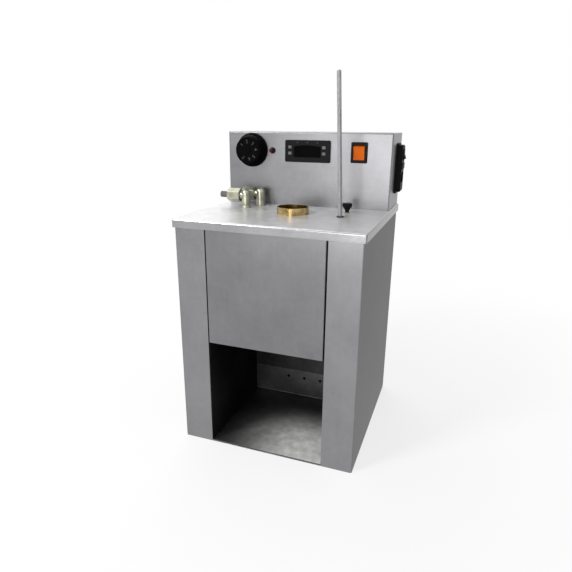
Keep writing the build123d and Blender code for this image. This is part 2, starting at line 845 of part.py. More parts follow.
def thermometer_sunk():
    return cabinet_height - tank_floor - bulb_floor_gap


def thermometer_glass():
    low, top = -thermometer_sunk(), thermometer_above
    dome = thermometer_radius * 0.35
    glass = turned([
        (0, low), (bulb_radius * 0.6, low), (bulb_radius, low + bulb_radius * 0.7),
        (bulb_radius, low + bulb_length), (thermometer_radius, low + bulb_length + bulb_radius),
        (thermometer_radius, top - dome), (thermometer_radius * 0.7, top - dome * 0.3),
        (thermometer_radius * 0.3, top), (0, top)])
    bore = rod(capillary_radius, 0, 0, (low + bulb_length, top - 2 * thermometer_radius))
    reservoir = rod(bulb_radius * 0.6, 0, 0, (low + bulb_radius, low + bulb_length + 0.1))
    return along_thermometer(glass - bore - reservoir)


def thermometer_column():
    low = -thermometer_sunk()
    reservoir = rod(bulb_radius * 0.6 - fit, 0, 0, (low + bulb_radius + fit, low + bulb_length))
    height = (thermometer_above + thermometer_sunk()) * column_share
    return along_thermometer(reservoir + rod(column_radius, 0, 0, (low + bulb_length - fit, low + height)))


def thermometer_grommet():
    neck = plate_sheet + 2 * fit
    ring = turned([
        (0, -neck - grommet_lip), (grommet_radius * 0.9, -neck - grommet_lip), (grommet_radius, -neck),
        (grommet_neck - fit, -neck), (grommet_neck - fit, 0), (grommet_radius, 0),
        (grommet_radius, grommet_lip * 0.6), (grommet_radius * 0.8, grommet_lip), (0, grommet_lip)])
    bore = along_thermometer(Cylinder(thermometer_radius + fit, 8 * grommet_lip + 8 * plate_sheet))
    return Pos(thermometer_x, thermometer_y, cabinet_height) * ring - bore


def rounded_block(width, height, corner, depth):
    return extrude(RectangleRounded(width, height, corner), depth)


def box_shell():
    outer = block((-half_width, half_width), (panel_face, back - sheet), (cabinet_height, box_top))
    outer = fillet(
        outer.edges().filter_by(Axis.Z).sort_by(Axis.Y)[:2]
        + outer.faces().sort_by(Axis.Z)[-1].edges().sort_by(Axis.Y)[:3], bend + sheet)
    inner = block(
        (-inner_side, inner_side), (panel_face + sheet, back + flange),
        (cabinet_height - 1, box_top - sheet))
    inner = fillet(
        inner.edges().filter_by(Axis.Z).sort_by(Axis.Y)[:2]
        + inner.faces().sort_by(Axis.Z)[-1].edges().sort_by(Axis.Y)[:3], bend)
    return outer - inner


def control_box():
    box = box_shell()
    rear = (back - 2 * sheet, back - sheet)
    foot = (cabinet_height, cabinet_height + sheet)
    for s in (-1, 1):
        strip = (s * inner_side, s * (half_width - rear_return))
        box += block(strip, rear, (cabinet_height, box_top - sheet))
        box += block((s * inner_side, s * (inner_side - flange)), (panel_face + sheet, rear[0]), foot)
    box += block((-inner_side, inner_side), rear, (box_top - flange, box_top - sheet))
    box += block((-inner_side, inner_side), (panel_face + sheet, panel_face + flange), foot)
    deep = 3 * sheet
    cuts = [
        on_panel(dial_x, control_z, Cylinder(regulator_bush_radius + slip, deep)),
        on_panel(lamp_x, control_z, Cylinder(lamp_body_radius + slip, deep)),
        on_panel(controller_x, control_z,
                 Box(controller_body_width + 2 * slip, controller_body_height + 2 * slip, deep)),
        on_panel(switch_x, control_z,
                 Box(switch_body_width + 2 * slip, switch_body_height + 2 * slip, deep)),
        on_side(inlet_y, inlet_z, inlet_back_block(slip, deep))]
    for x, z in cover_screw_places():
        if z > cabinet_height:
            cuts.append(on_back(x, z, Cylinder(screw_radius + fit, 6 * sheet)))
    for cut in cuts:
        box -= cut
    return box


def control_box_back():
    cover = block((-half_width, half_width), (back - sheet, back), (cabinet_height, box_top))
    for x, z in cover_screw_places():
        if z > cabinet_height:
            cover -= on_back(x, z, Cylinder(screw_radius + screw_clearance, 4 * sheet))
    return cover


def dial_knob():
    hub = dial_gap + dial_hollow
    taper = dial_depth - dial_skirt
    knob = turned([
        (0, hub), (dial_radius * 0.86, hub), (dial_radius * 0.86, dial_gap), (dial_radius, dial_gap),
        (dial_radius, dial_gap + dial_skirt), (dial_radius * 0.93, dial_gap + dial_skirt * 1.3),
        (dial_face_radius * 1.09, dial_depth - dial_skirt * 0.6), (dial_face_radius, dial_depth),
        (dial_face_radius * 0.94, dial_depth), (dial_face_radius * 0.92, dial_depth - dial_face_recess),
        (dial_face_radius * 0.24, dial_depth - dial_face_recess), (dial_face_radius * 0.2, dial_depth),
        (0, dial_depth)])
    lean = math.degrees(math.atan2(dial_radius * 0.93 - dial_face_radius * 1.09, taper))
    flute_radius = dial_radius * 0.08
    middle = (dial_radius * 0.93 + dial_face_radius * 1.09) / 2
    flute = Pos(middle + flute_radius * 0.6, 0, dial_gap + dial_skirt + taper / 2) * (
        Rot(0, -lean, 0) * Cylinder(flute_radius, taper * 0.86))
    for i in range(dial_flutes):
        knob -= Rot(0, 0, i * 360 / dial_flutes) * flute
    knob -= rod(regulator_shaft_radius + fit, 0, 0, (0, regulator_shaft_reach + slip))
    return on_panel(dial_x, control_z, knob)


def regulator_body():
    low = -sheet - regulator_length
    body = block(
        (-regulator_size / 2, regulator_size / 2), (-regulator_size / 2, regulator_size / 2),
        (low, -sheet))
    body = chamfer(body.edges().filter_by(Axis.Z), regulator_size * 0.06)
    body += rod(regulator_bush_radius, 0, 0, (-sheet, regulator_bush_reach))
    for s in (-1, 1):
        for t in (-1, 1):
            place = Pos(s * regulator_size / 4, t * regulator_size / 4, low - flange / 4)
            body += place * Box(*blade_terminal, flange / 2)
    bore = (-sheet - regulator_shaft_hidden, regulator_bush_reach + 1)
    body -= rod(regulator_shaft_radius + fit, 0, 0, bore)
    return on_panel(dial_x, control_z, body)


def regulator_shaft():
    low = -sheet - regulator_shaft_hidden + slip
    shaft = rod(regulator_shaft_radius, 0, 0, (low, regulator_shaft_reach))
    flat_depth = regulator_shaft_radius * 0.5
    flat = block(
        (regulator_shaft_radius - flat_depth, 2 * regulator_shaft_radius),
        (-regulator_shaft_radius, regulator_shaft_radius),
        (regulator_bush_reach + 1, 2 * regulator_shaft_reach))
    return on_panel(dial_x, control_z, shaft - flat)


def pilot_lamp_body():
    body = rod(lamp_body_radius, 0, 0, (-lamp_body_length, 0))
    body += rod(lamp_bezel_radius, 0, 0, (0, lamp_bezel))
    body -= rod(lamp_lens_radius + fit, 0, 0, (lamp_bezel * 0.4, lamp_bezel + 1))
    return on_panel(lamp_x, control_z, body)


def pilot_lamp_lens():
    low = lamp_bezel * 0.4
    side = lamp_bezel + 0.6
    rise = lamp_lens_out - side
    curve = [
        (lamp_lens_radius * math.cos(math.radians(a)), side + rise * math.sin(math.radians(a)))
        for a in (0, 22.5, 45, 67.5)]
    lens = turned([(0, low), (lamp_lens_radius, low)] + curve + [(0, lamp_lens_out)])
    return on_panel(lamp_x, control_z, lens)


def button_places():
    return [
        (column, row) for row in (button_row_high, button_row_low)
        for column in (button_column_left, button_column_right)]


def window_outline(grow):
    """Display window: a rounded rectangle with its top edge bowed upwards."""
    w, h = window_width / 2 + grow, window_height / 2 + grow
    rise = window_height * 0.12
    edge = Polyline((-w, h - rise, 0), (-w, -h, 0), (w, -h, 0), (w, h - rise, 0)) + ThreePointArc(
        (w, h - rise, 0), (0, h, 0), (-w, h - rise, 0))
    return fillet(make_face(edge).vertices(), window_height * 0.1)


def controller_case():
    bezel = rounded_block(controller_width, controller_height, controller_height * 0.07, controller_bezel)
    bezel = fillet(bezel.faces().sort_by(Axis.Z)[-1].edges(), controller_bezel * 0.25)
    body = Pos(0, 0, -controller_body_length / 2) * Box(
        controller_body_width, controller_body_height, controller_body_length)
    case = bezel + body
    sink = window_recess + window_thick
    case -= Pos(0, 0, controller_bezel - sink) * extrude(window_outline(fit), sink + 1)
    well = Box(
        button_width + 2 * button_gap, button_height + 2 * button_gap, 2 * (button_length + button_stand))
    for u, v in button_places():
        case -= Pos(u, v, controller_bezel) * well
    return on_panel(controller_x, control_z, case)


def controller_window():
    window = Pos(0, 0, controller_bezel - window_recess - window_thick) * extrude(
        window_outline(0), window_thick)
    return on_panel(controller_x, control_z, window)


def controller_button(place):
    u, v = place
    length = button_length + button_stand
    cap = rounded_block(button_width, button_height, button_height * 0.15, length)
    cap = fillet(cap.faces().sort_by(Axis.Z)[-1].edges(), button_stand * 0.3)
    return on_panel(controller_x, control_z, Pos(u, v, controller_bezel - button_length) * cap)


def controller_brackets():
    """Clips along the case's two ends that pull it against the back of the panel."""
    pieces = []
    for s in (-1, 1):
        x = (s * controller_body_width / 2, s * (controller_body_width / 2 + bracket_thick))
        arm = block(x, (-bracket_height / 2, bracket_height / 2), (-sheet - bracket_length, -sheet))
        for i in range(4):
            z = -sheet - bracket_length * (0.35 + i * 0.17)
            arm -= block(
                (x[1] - s * bracket_thick * 0.4, x[1] + s), (-bracket_height, bracket_height), (z, z + 2))
        pieces.append(on_panel(controller_x, control_z, arm))
    return Part() + pieces


def rocker_pivot(height):
    """Depth of a rocker's pivot below the face round it."""
    return height * rocker_pivot_share


def rocker(width, height, stand, narrowing, face, tilt):
    """Rocker tilted about its pivot, with a trunnion at each end; X is along the pivot.

    stand is how far its two edges stand above the face round it when it is level.
    """
    half = height / 2
    pivot = rocker_pivot(height)
    side = [
        (half * 0.94, -pivot * 0.75), (half, 0), (half * (1 + narrowing) / 2, pivot * 0.7),
        (half * narrowing, pivot + stand)]
    points = side + [(0, pivot + stand * 0.5)] + [(-y, z) for y, z in reversed(side)]
    section = make_face(Polyline(*[(0, y, z) for y, z in points], close=True))
    body = extrude(section, width / 2, both=True, dir=(1, 0, 0))
    pin = Rot(0, 90, 0) * Cylinder(trunnion_radius, width + 2 * trunnion_reach)
    return Pos(0, 0, face - pivot) * (Rot(tilt, 0, 0) * (body + pin))


def rocker_cavity(width, height, face):
    """Space for a rocker and its trunnions, open at the front."""
    pivot = rocker_pivot(height)
    space = block(
        (-width / 2 - rocker_side_gap, width / 2 + rocker_side_gap),
        (-height / 2 - rocker_side_gap, height / 2 + rocker_side_gap), (face - 2.2 * pivot, face + 1))
    pin = Rot(0, 90, 0) * Cylinder(trunnion_radius + fit, width + 2 * trunnion_reach + 2 * fit)
    return space + Pos(0, 0, face - pivot) * pin


def switch_body():
    bezel = rounded_block(switch_bezel_width, switch_bezel_height, 2.0, switch_bezel)
    bezel = chamfer(bezel.faces().sort_by(Axis.Z)[-1].edges(), switch_bezel * 0.4)
    body = bezel + Pos(0, 0, -switch_body_length / 2) * Box(
        switch_body_width, switch_body_height, switch_body_length)
    for s in (-1, 1):
        for t in (-1, 1):
            place = Pos(s * switch_body_width / 4, t * switch_body_height / 4, -switch_body_length)
            body += place * Box(*blade_terminal, flange)
    return on_panel(switch_x, control_z, body - rocker_cavity(
        switch_rocker_width, switch_rocker_height, switch_bezel))


def switch_rocker():
    return on_panel(switch_x, control_z, rocker(
        switch_rocker_width, switch_rocker_height, switch_rocker_stand, 0.9, switch_bezel, rocker_tilt))


def inlet_back_block(grow, depth):
    low, high = inlet_body_bottom, inlet_body_top
    return Pos(0, (low + high) / 2, 0) * Box(inlet_body_width + 2 * grow, high - low + 2 * grow, depth)


def inlet_clip(s, v):
    """Snap lug beside the body, its flat end against the back of the box's side."""
    edge = inlet_body_width / 2
    outline = make_face(Polyline(
        (s * (edge - 1), -sheet, 0), (s * (edge + inlet_clip_out), -sheet, 0),
        (s * (edge + inlet_clip_out), -sheet - 1, 0), (s * edge, -sheet - inlet_clip_length, 0),
        (s * (edge - 1), -sheet - inlet_clip_length, 0), close=True))
    lug = extrude(outline, inlet_clip_height / 2, both=True)
    return Pos(0, v, 0) * (Rot(90, 0, 0) * lug)


def socket_outline(grow):
    """Inlet recess: a rectangle with its two upper corners cut off."""
    w, h = socket_width / 2 + grow, socket_height / 2 + grow
    return make_face(Polyline(
        (-w, -h, 0), (w, -h, 0), (w, h - socket_bevel, 0), (w - socket_bevel, h, 0),
        (-w + socket_bevel, h, 0), (-w, h - socket_bevel, 0), close=True))


def inlet_body():
    body = rounded_block(inlet_width, inlet_height, inlet_corner, inlet_flange)
    body = fillet(body.faces().sort_by(Axis.Z)[-1].edges(), inlet_flange * 0.5)
    raised = rounded_block(
        inlet_face_width, inlet_height - 2 * inlet_face_inset, inlet_corner * 0.75, inlet_face_out)
    body += chamfer(raised.faces().sort_by(Axis.Z)[-1].edges(), inlet_flange * 0.5)
    body += Pos(0, 0, -inlet_body_length / 2) * inlet_back_block(0, inlet_body_length)
    for s in (-1, 1):
        for v in (-inlet_clip_v, inlet_clip_v):
            body += inlet_clip(s, v)
    body -= Pos(0, socket_v, inlet_face_out - socket_depth) * extrude(socket_outline(0), socket_depth + 1)
    slot = Box(pin_width + 2 * fit, pin_height + 2 * fit, inlet_body_length + inlet_face_out)
    for u, v in pin_places():
        body -= Pos(u, v, -inlet_body_length / 2) * slot
    body -= Pos(0, drawer_v, inlet_face_out - drawer_length) * block(
        (-drawer_width / 2, drawer_width / 2), (-drawer_height / 2, drawer_height / 2),
        (-slip, drawer_length + 1))
    body -= Pos(0, inlet_rocker_v, 0) * rocker_cavity(
        inlet_rocker_width, inlet_rocker_height, inlet_face_out)
    return on_side(inlet_y, inlet_z, body)


def inlet_rocker():
    return on_side(inlet_y, inlet_z, Pos(0, inlet_rocker_v, 0) * rocker(
        inlet_rocker_width, inlet_rocker_height, inlet_rocker_stand, 0.86, inlet_face_out, -rocker_tilt))


def fuse_drawer():
    g = drawer_gap
    box = block(
        (-drawer_width / 2 + g, drawer_width / 2 - g), (-drawer_height / 2 + g, drawer_height / 2 - g),
        (inlet_face_out - drawer_length + g, inlet_face_out))
    plate = Pos(0, 0, inlet_face_out) * rounded_block(
        drawer_width + 1, drawer_height + 1, drawer_height * 0.1, drawer_plate)
    fuse_well = Pos(0, 0, inlet_face_out - drawer_length * 0.4) * Box(
        drawer_width * 0.3, 2 * drawer_height, drawer_length * 0.85)
    notch = Pos(0, -drawer_height / 2, inlet_face_out + drawer_plate) * Box(
        drawer_width * 0.3, drawer_height * 0.25, drawer_plate)
    return on_side(inlet_y, inlet_z, Pos(0, drawer_v, 0) * (box + plate - fuse_well - notch))


def pin_places():
    half = pin_spacing / 2
    row = socket_v - pin_row_drop
    return [(-half, row), (0, row + pin_earth_rise), (half, row)]


def inlet_pins():
    low, high = -inlet_body_length - pin_tail, inlet_face_out - pin_sunk
    blade = Pos(0, 0, (low + high) / 2) * Box(pin_width, pin_height, high - low)
    return Part() + [on_side(inlet_y, inlet_z, Pos(u, v, 0) * blade) for u, v in pin_places()]


def terminal_block():
    length = terminal_ways * terminal_pitch
    y = back - terminal_from_back
    body = block((0, length), (-terminal_width / 2, terminal_width / 2), (0, terminal_height * 0.6))
    for i in range(terminal_ways):
        x = (i + 0.5) * terminal_pitch
        body += block(
            (x - terminal_pitch * 0.4, x + terminal_pitch * 0.4),
            (-terminal_width * 0.4, terminal_width * 0.4), (0, terminal_height))
        for s in (-1, 1):
            screw_well = (terminal_height * 0.5, terminal_height + 1)
            body -= rod(terminal_pitch * 0.22, x, s * terminal_width * 0.22, screw_well)
        wire_way = Rot(90, 0, 0) * Cylinder(terminal_pitch * 0.2, 2 * terminal_width)
        body -= Pos(x, 0, terminal_height * 0.35) * wire_way
    return Pos(terminal_x, y, cabinet_height) * body


def build_nodes():
    nodes = {
        "side_shell_left": side_shell(-1),
        "side_shell_right": side_shell(1),
        "base_plate": base_plate(),
        "rear_cover": rear_cover(),
        "cover_screws": cover_screws(),
        "chamber_side_left": chamber_side(-1),
        "chamber_side_right": chamber_side(1),
        "chamber_back": chamber_back(),
        "chamber_floor": chamber_floor(),
        "front_panel": front_panel(),
        "top_plate": top_plate(),
        "bath_tank": bath_tank(),
        "bath_gasket": bath_gasket(),
        "bath_studs": bath_studs(),
        "bath_nuts": bath_nuts(),
        "oil_cup": oil_cup(),
        "level_pointer": level_pointer(),
        "cup_washer": cup_washer(),
        "cup_gland_nut": cup_gland_nut(),
        "agate_jet": agate_jet(),
        "heater_element": heater_element(),
        "heater_glands": heater_glands(),
        "heater_nuts": heater_nuts(),
        "sensor_probe": sensor_probe(),
        "sensor_gland": sensor_gland(),
        "cooling_loop": cooling_loop(),
        "hose_elbows": hose_elbows(),
        "elbow_back_nuts": elbow_back_nuts(),
        "union_nuts": union_nuts(),
        "hose_tails": hose_tails(),
        "stirrer_bush": stirrer_bush(),
        "stirrer_knob": stirrer_knob(),
        "stirrer_shaft": stirrer_shaft(),
        "stirrer_paddle": stirrer_paddle(),
        "stirrer_collar": stirrer_collar(),
        "thermometer_glass": thermometer_glass(),
        "thermometer_column": thermometer_column(),
        "thermometer_grommet": thermometer_grommet(),
        "control_box": control_box(),
        "control_box_back": control_box_back(),
        "dial_knob": dial_knob(),
        "regulator_body": regulator_body(),
        "regulator_shaft": regulator_shaft(),
        "pilot_lamp_body": pilot_lamp_body(),
        "pilot_lamp_lens": pilot_lamp_lens(),
        "controller_case": controller_case(),
        "controller_window": controller_window(),
        "controller_brackets": controller_brackets(),
        "switch_body": switch_body(),
        "switch_rocker": switch_rocker(),
        "inlet_body": inlet_body(),
        "inlet_rocker": inlet_rocker(),
        "fuse_drawer": fuse_drawer(),
        "inlet_pins": inlet_pins(),
        "terminal_block": terminal_block(),
    }
    names = ("button_high_left", "button_high_right", "button_low_left", "button_low_right")
    for name, place in zip(names, button_places()):
        nodes[name] = controller_button(place)
    return nodes


os.makedirs("parts", exist_ok=True)
for node, shape in build_nodes().items():
    export_step(shape, f"parts/{node}.step")
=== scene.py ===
import json
import math

import bmesh
import bpy
from mathutils import Matrix, Vector


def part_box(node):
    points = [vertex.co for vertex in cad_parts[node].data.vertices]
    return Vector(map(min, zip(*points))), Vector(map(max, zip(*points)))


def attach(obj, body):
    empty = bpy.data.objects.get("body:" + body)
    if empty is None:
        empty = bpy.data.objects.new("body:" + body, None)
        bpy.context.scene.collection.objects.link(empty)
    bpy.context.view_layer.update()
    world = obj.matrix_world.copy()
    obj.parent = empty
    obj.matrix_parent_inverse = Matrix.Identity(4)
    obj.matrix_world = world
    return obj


mm = 0.001
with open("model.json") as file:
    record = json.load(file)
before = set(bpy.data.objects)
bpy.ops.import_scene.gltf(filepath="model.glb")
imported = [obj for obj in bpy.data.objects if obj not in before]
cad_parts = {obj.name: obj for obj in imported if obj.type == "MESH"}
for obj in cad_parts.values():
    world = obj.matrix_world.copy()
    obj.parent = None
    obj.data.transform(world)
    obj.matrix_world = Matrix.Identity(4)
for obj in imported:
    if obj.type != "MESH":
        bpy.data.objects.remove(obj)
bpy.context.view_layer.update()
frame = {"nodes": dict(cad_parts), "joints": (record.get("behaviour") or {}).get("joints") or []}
nodes = frame["nodes"]
bpy.ops.object.select_all(action="DESELECT")
print("frame loaded:", len(nodes), "nodes")


# Materials

def toLinear(code):
    values = [int(code[i:i + 2], 16) / 255 for i in (1, 3, 5)]
    return tuple(v / 12.92 if v <= 0.04045 else ((v + 0.055) / 1.055) ** 2.4 for v in values) + (1.0,)


def addNode(tree, kind, settings=None, links=None):
    node = tree.nodes.new(kind)
    for name, value in (settings or {}).items():
        if isinstance(name, int) or name in node.inputs:
            node.inputs[name].default_value = value
        else:
            setattr(node, name, value)
    for name, socket in (links or {}).items():
        tree.links.new(socket, node.inputs[name])
    return node


def startMaterial(name, shader):
    material = bpy.data.materials.new(name)
    material.use_nodes = True
    tree = material.node_tree
    tree.nodes.clear()
    surface = addNode(tree, "ShaderNodeBsdfPrincipled", shader)
    addNode(tree, "ShaderNodeOutputMaterial", links={"Surface": surface.outputs[0]})
    place = addNode(tree, "ShaderNodeTexCoord").outputs["Object"]
    return material, tree, surface, place


def colourRamp(tree, factor, stops):
    ramp = addNode(tree, "ShaderNodeValToRGB", links={"Fac": factor})
    for _ in range(len(stops) - 2):
        ramp.color_ramp.elements.new(0.5)
    for element, (position, colour) in zip(ramp.color_ramp.elements, stops):
        element.position = position
        element.color = colour
    return ramp.outputs[0]


def grey(value):
    return (value, value, value, 1.0)


brushLook = {"apart": 0.45, "long": 70, "cloud": 80, "mark": 9, "deep": 0.05}  # all in millimetres


def brushedStainless(name, light, dark, grain, roughness=0.34, edgeTint=1.0, paintedLight=None, paintedSideShade=None):
    # 304 stainless sheet with a number 4 brushed finish: the belt leaves fine parallel scratches that
    # blur reflections into soft clouds. Real scratches are about 0.08 mm apart. They are drawn wider, so
    # that they show.
    material, tree, surface, place = startMaterial(
        name, {"Metallic": 1.0, "Anisotropic": 0.25, "Specular Tint": grey(edgeTint)})
    scratchScale = [1 / (brushLook["apart"] * mm)] * 3
    scratchScale[grain] = 1 / (brushLook["long"] * mm)
    streaks = addNode(tree, "ShaderNodeMapping", {"Scale": scratchScale}, {"Vector": place})
    scratches = addNode(tree, "ShaderNodeTexNoise", {"Scale": 1.0, "Detail": 3.0, "Roughness": 0.6},
                        {"Vector": streaks.outputs[0]})
    clouds = addNode(tree, "ShaderNodeTexNoise",
                     {"Scale": 1 / (brushLook["cloud"] * mm), "Detail": 4.0, "Roughness": 0.6},
                     {"Vector": place})
    # handling marks and wiped spots
    mottle = addNode(tree, "ShaderNodeTexNoise",
                     {"Scale": 1 / (brushLook["mark"] * mm), "Detail": 5.0, "Roughness": 0.7},
                     {"Vector": place})
    marked = addNode(tree, "ShaderNodeMix", {"data_type": "FLOAT", "Factor": 0.3},
                     {2: clouds.outputs[0], 3: mottle.outputs[0]})
    mixed = addNode(tree, "ShaderNodeMix", {"data_type": "FLOAT", "Factor": 0.25},
                    {2: marked.outputs[0], 3: scratches.outputs[0]})
    colour = colourRamp(tree, mixed.outputs[0], [(0.37, toLinear(dark)), (0.63, toLinear(light))])
    # painted shade on sideways faces, when given
    if paintedSideShade:
        colour = shadeSides(tree, colour, paintedSideShade)
    rough = addNode(tree, "ShaderNodeMapRange", {"To Min": roughness - 0.03, "To Max": roughness + 0.04},
                    {"Value": mixed.outputs[0]})
    # painted light on upward faces, when given
    if paintedLight:
        addDriedFilm(tree, surface, place, colour, rough.outputs[0], paintedLight)
    else:
        tree.links.new(colour, surface.inputs["Base Color"])
        tree.links.new(rough.outputs[0], surface.inputs["Roughness"])
    bump = addNode(tree, "ShaderNodeBump", {"Strength": 0.10, "Distance": brushLook["deep"] * mm},
                   {"Height": scratches.outputs[0]})
    tree.links.new(bump.outputs[0], surface.inputs["Normal"])
    return material


def facing(tree, axis, low, high):
    # how much a face looks along one axis of the object, from 0 to 1
    normal = addNode(tree, "ShaderNodeSeparateXYZ", links={
        0: addNode(tree, "ShaderNodeTexCoord").outputs["Normal"]})
    return addNode(tree, "ShaderNodeMapRange", {"From Min": low, "From Max": high},
                   {"Value": normal.outputs[axis]})


def shadeSides(tree, colour, dark):
    # Faces that look sideways, such as the cabinet's sides and the plate's side lips, get painted shade:
    # their colour is multiplied darker.
    right = facing(tree, "X", 0.6, 0.9)
    left = facing(tree, "X", -0.6, -0.9)
    sides = addNode(tree, "ShaderNodeMath", {"operation": "MAXIMUM"},
                    {0: right.outputs[0], 1: left.outputs[0]})
    return addNode(tree, "ShaderNodeMix", {"data_type": "RGBA", "blend_type": "MULTIPLY", 7: grey(dark)},
                   {0: sides.outputs[0], 6: colour}).outputs[2]


def addDriedFilm(tree, surface, place, colour, rough, paintedLight):
    # Upward faces get painted light: a pale, patchy cover, rougher and less metallic than steel, that makes
    # tops lighter than sides.
    level = facing(tree, "Z", 0.6, 0.95)
    spots = addNode(tree, "ShaderNodeTexNoise",
                    {"Scale": 1 / (paintedLight["spot"] * mm), "Detail": 6.0, "Roughness": 0.65}, {"Vector": place})
    patchy = addNode(tree, "ShaderNodeMapRange",
                     {"From Min": 0.35, "From Max": 0.65, "To Min": paintedLight["least"], "To Max": paintedLight["most"]},
                     {"Value": spots.outputs[0]})
    amount = addNode(tree, "ShaderNodeMath", {"operation": "MULTIPLY"},
                     {0: level.outputs[0], 1: patchy.outputs[0]})
    along = addNode(tree, "ShaderNodeSeparateXYZ", links={0: place})
    for axis, (thin, full, atThin) in paintedLight["grows"].items():
        rise = addNode(tree, "ShaderNodeMapRange",
                       {"interpolation_type": "SMOOTHSTEP", "From Min": thin * mm, "From Max": full * mm,
                        "To Min": atThin}, {"Value": along.outputs[axis]})
        amount = addNode(tree, "ShaderNodeMath", {"operation": "MULTIPLY"},
                         {0: amount.outputs[0], 1: rise.outputs[0]})
    tint = addNode(tree, "ShaderNodeMix", {"data_type": "RGBA", 7: toLinear(paintedLight["colour"])},
                   {0: amount.outputs[0], 6: colour})
    tree.links.new(tint.outputs[2], surface.inputs["Base Color"])
    metal = addNode(tree, "ShaderNodeMath", {"operation": "SUBTRACT", 0: 1.0}, {1: amount.outputs[0]})
    tree.links.new(metal.outputs[0], surface.inputs["Metallic"])
    dull = addNode(tree, "ShaderNodeMix", {"data_type": "FLOAT", 3: paintedLight["rough"]},
                   {0: amount.outputs[0], 2: rough})
    tree.links.new(dull.outputs[0], surface.inputs["Roughness"])


def machinedMetal(name, light, dark, roughness, pitch=0.0):
    # Turned bar: a lathe leaves fine rings across the axis, and handling leaves cloudy marks.
    material, tree, surface, place = startMaterial(name, {"Metallic": 1.0})
    clouds = addNode(tree, "ShaderNodeTexNoise", {"Scale": 1 / (14 * mm), "Detail": 4.0, "Roughness": 0.6},
                     {"Vector": place})
    colour = colourRamp(tree, clouds.outputs[0], [(0.35, toLinear(dark)), (0.65, toLinear(light))])
    tree.links.new(colour, surface.inputs["Base Color"])
    rough = addNode(tree, "ShaderNodeMapRange", {"To Min": roughness - 0.05, "To Max": roughness + 0.1},
                    {"Value": clouds.outputs[0]})
    tree.links.new(rough.outputs[0], surface.inputs["Roughness"])
    if pitch:
        rings = addNode(tree, "ShaderNodeTexWave",
                        {"bands_direction": "Z", "Scale": 1 / (20 * pitch * mm) * 3.14, "Distortion": 0.4,
                         "Detail": 2.0}, {"Vector": place})
        bump = addNode(tree, "ShaderNodeBump", {"Strength": 0.12, "Distance": 0.04 * mm},
                       {"Height": rings.outputs["Fac"]})
        tree.links.new(bump.outputs[0], surface.inputs["Normal"])
    return material


def mouldedPlastic(name, light, dark, roughness, grain=0.7, bumpStrength=0.1, shader=None):
    # Injection moulded plastic: a spark-eroded mould gives it a fine even grain that softens highlights.
    settings = {"IOR": 1.53}
    settings.update(shader or {})
    material, tree, surface, place = startMaterial(name, settings)
    texture = addNode(tree, "ShaderNodeTexNoise", {"Scale": 1 / (grain * mm), "Detail": 2.0},
                      {"Vector": place})
    clouds = addNode(tree, "ShaderNodeTexNoise", {"Scale": 1 / (18 * mm), "Detail": 3.0}, {"Vector": place})
    colour = colourRamp(tree, clouds.outputs[0], [(0.3, toLinear(dark)), (0.7, toLinear(light))])
    tree.links.new(colour, surface.inputs["Base Color"])
    rough = addNode(tree, "ShaderNodeMapRange", {"To Min": roughness - 0.06, "To Max": roughness + 0.08},
                    {"Value": clouds.outputs[0]})
    tree.links.new(rough.outputs[0], surface.inputs["Roughness"])
    bump = addNode(tree, "ShaderNodeBump", {"Strength": bumpStrength, "Distance": 0.05 * mm},
                   {"Height": texture.outputs[0]})
    tree.links.new(bump.outputs[0], surface.inputs["Normal"])
    return material


def agateStone(name):
    # Polished agate: a hard banded quartz, brown and milky layers under a glassy polish.
    material, tree, surface, place = startMaterial(name, {"Roughness": 0.12, "IOR": 1.54})
    bands = addNode(tree, "ShaderNodeTexWave",
                    {"bands_direction": "Z", "Scale": 1 / (9 * mm), "Distortion": 3.5, "Detail": 3.0,
                     "Detail Scale": 1.5}, {"Vector": place})
    colour = colourRamp(tree, bands.outputs["Fac"], [
        (0.1, toLinear("#6f4028")), (0.5, toLinear("#b98a62")), (0.9, toLinear("#e2d2bd"))])
    tree.links.new(colour, surface.inputs["Base Color"])
    return material


def enamelledGlass(name):
    # Lead glass stem backed with white enamel, coloured grey: painted shade on the white stem, with draw
    # lines along its length.
    material, tree, surface, place = startMaterial(
        name, {"Transmission Weight": 0.12, "Roughness": 0.3, "IOR": 1.52, "Specular IOR Level": 0.35})
    stretch = addNode(tree, "ShaderNodeMapping", {"Scale": (1 / (1.6 * mm), 1 / (1.6 * mm), 1 / (9 * mm))},
                      {"Vector": place})
    lines = addNode(tree, "ShaderNodeTexNoise", {"Scale": 1.0, "Detail": 2.0},
                    {"Vector": stretch.outputs[0]})
    colour = colourRamp(tree, lines.outputs[0], [(0.35, toLinear("#858588")), (0.65, toLinear("#a4a4a7"))])
    tree.links.new(colour, surface.inputs["Base Color"])
    bump = addNode(tree, "ShaderNodeBump", {"Strength": 0.05, "Distance": 0.02 * mm},
                   {"Height": lines.outputs[0]})
    tree.links.new(bump.outputs[0], surface.inputs["Normal"])
    return material


# The painted light covers: spots in millimetres, least and most cover, and along which axis (0 is x, 1 is
# y) the cover grows, from where it is thin to where it is full, in millimetres, with its share where it is
# thin.
# on the plate the painted light is fuller towards the back, by the box
platePaintedLight = {"colour": "#e4e4e5", "spot": 22, "least": 0.5, "most": 0.75, "rough": 0.4,
             "grows": {1: (-90, 30, 0.8)}}
# on the tray it is a painted pool of light at the front right
trayPaintedLightPool = {"colour": "#eeeeec", "spot": 12, "least": 0.75, "most": 1.0, "rough": 0.55,
            "grows": {0: (-105, 55, 0.0), 1: (15, -95, 0.0)}}

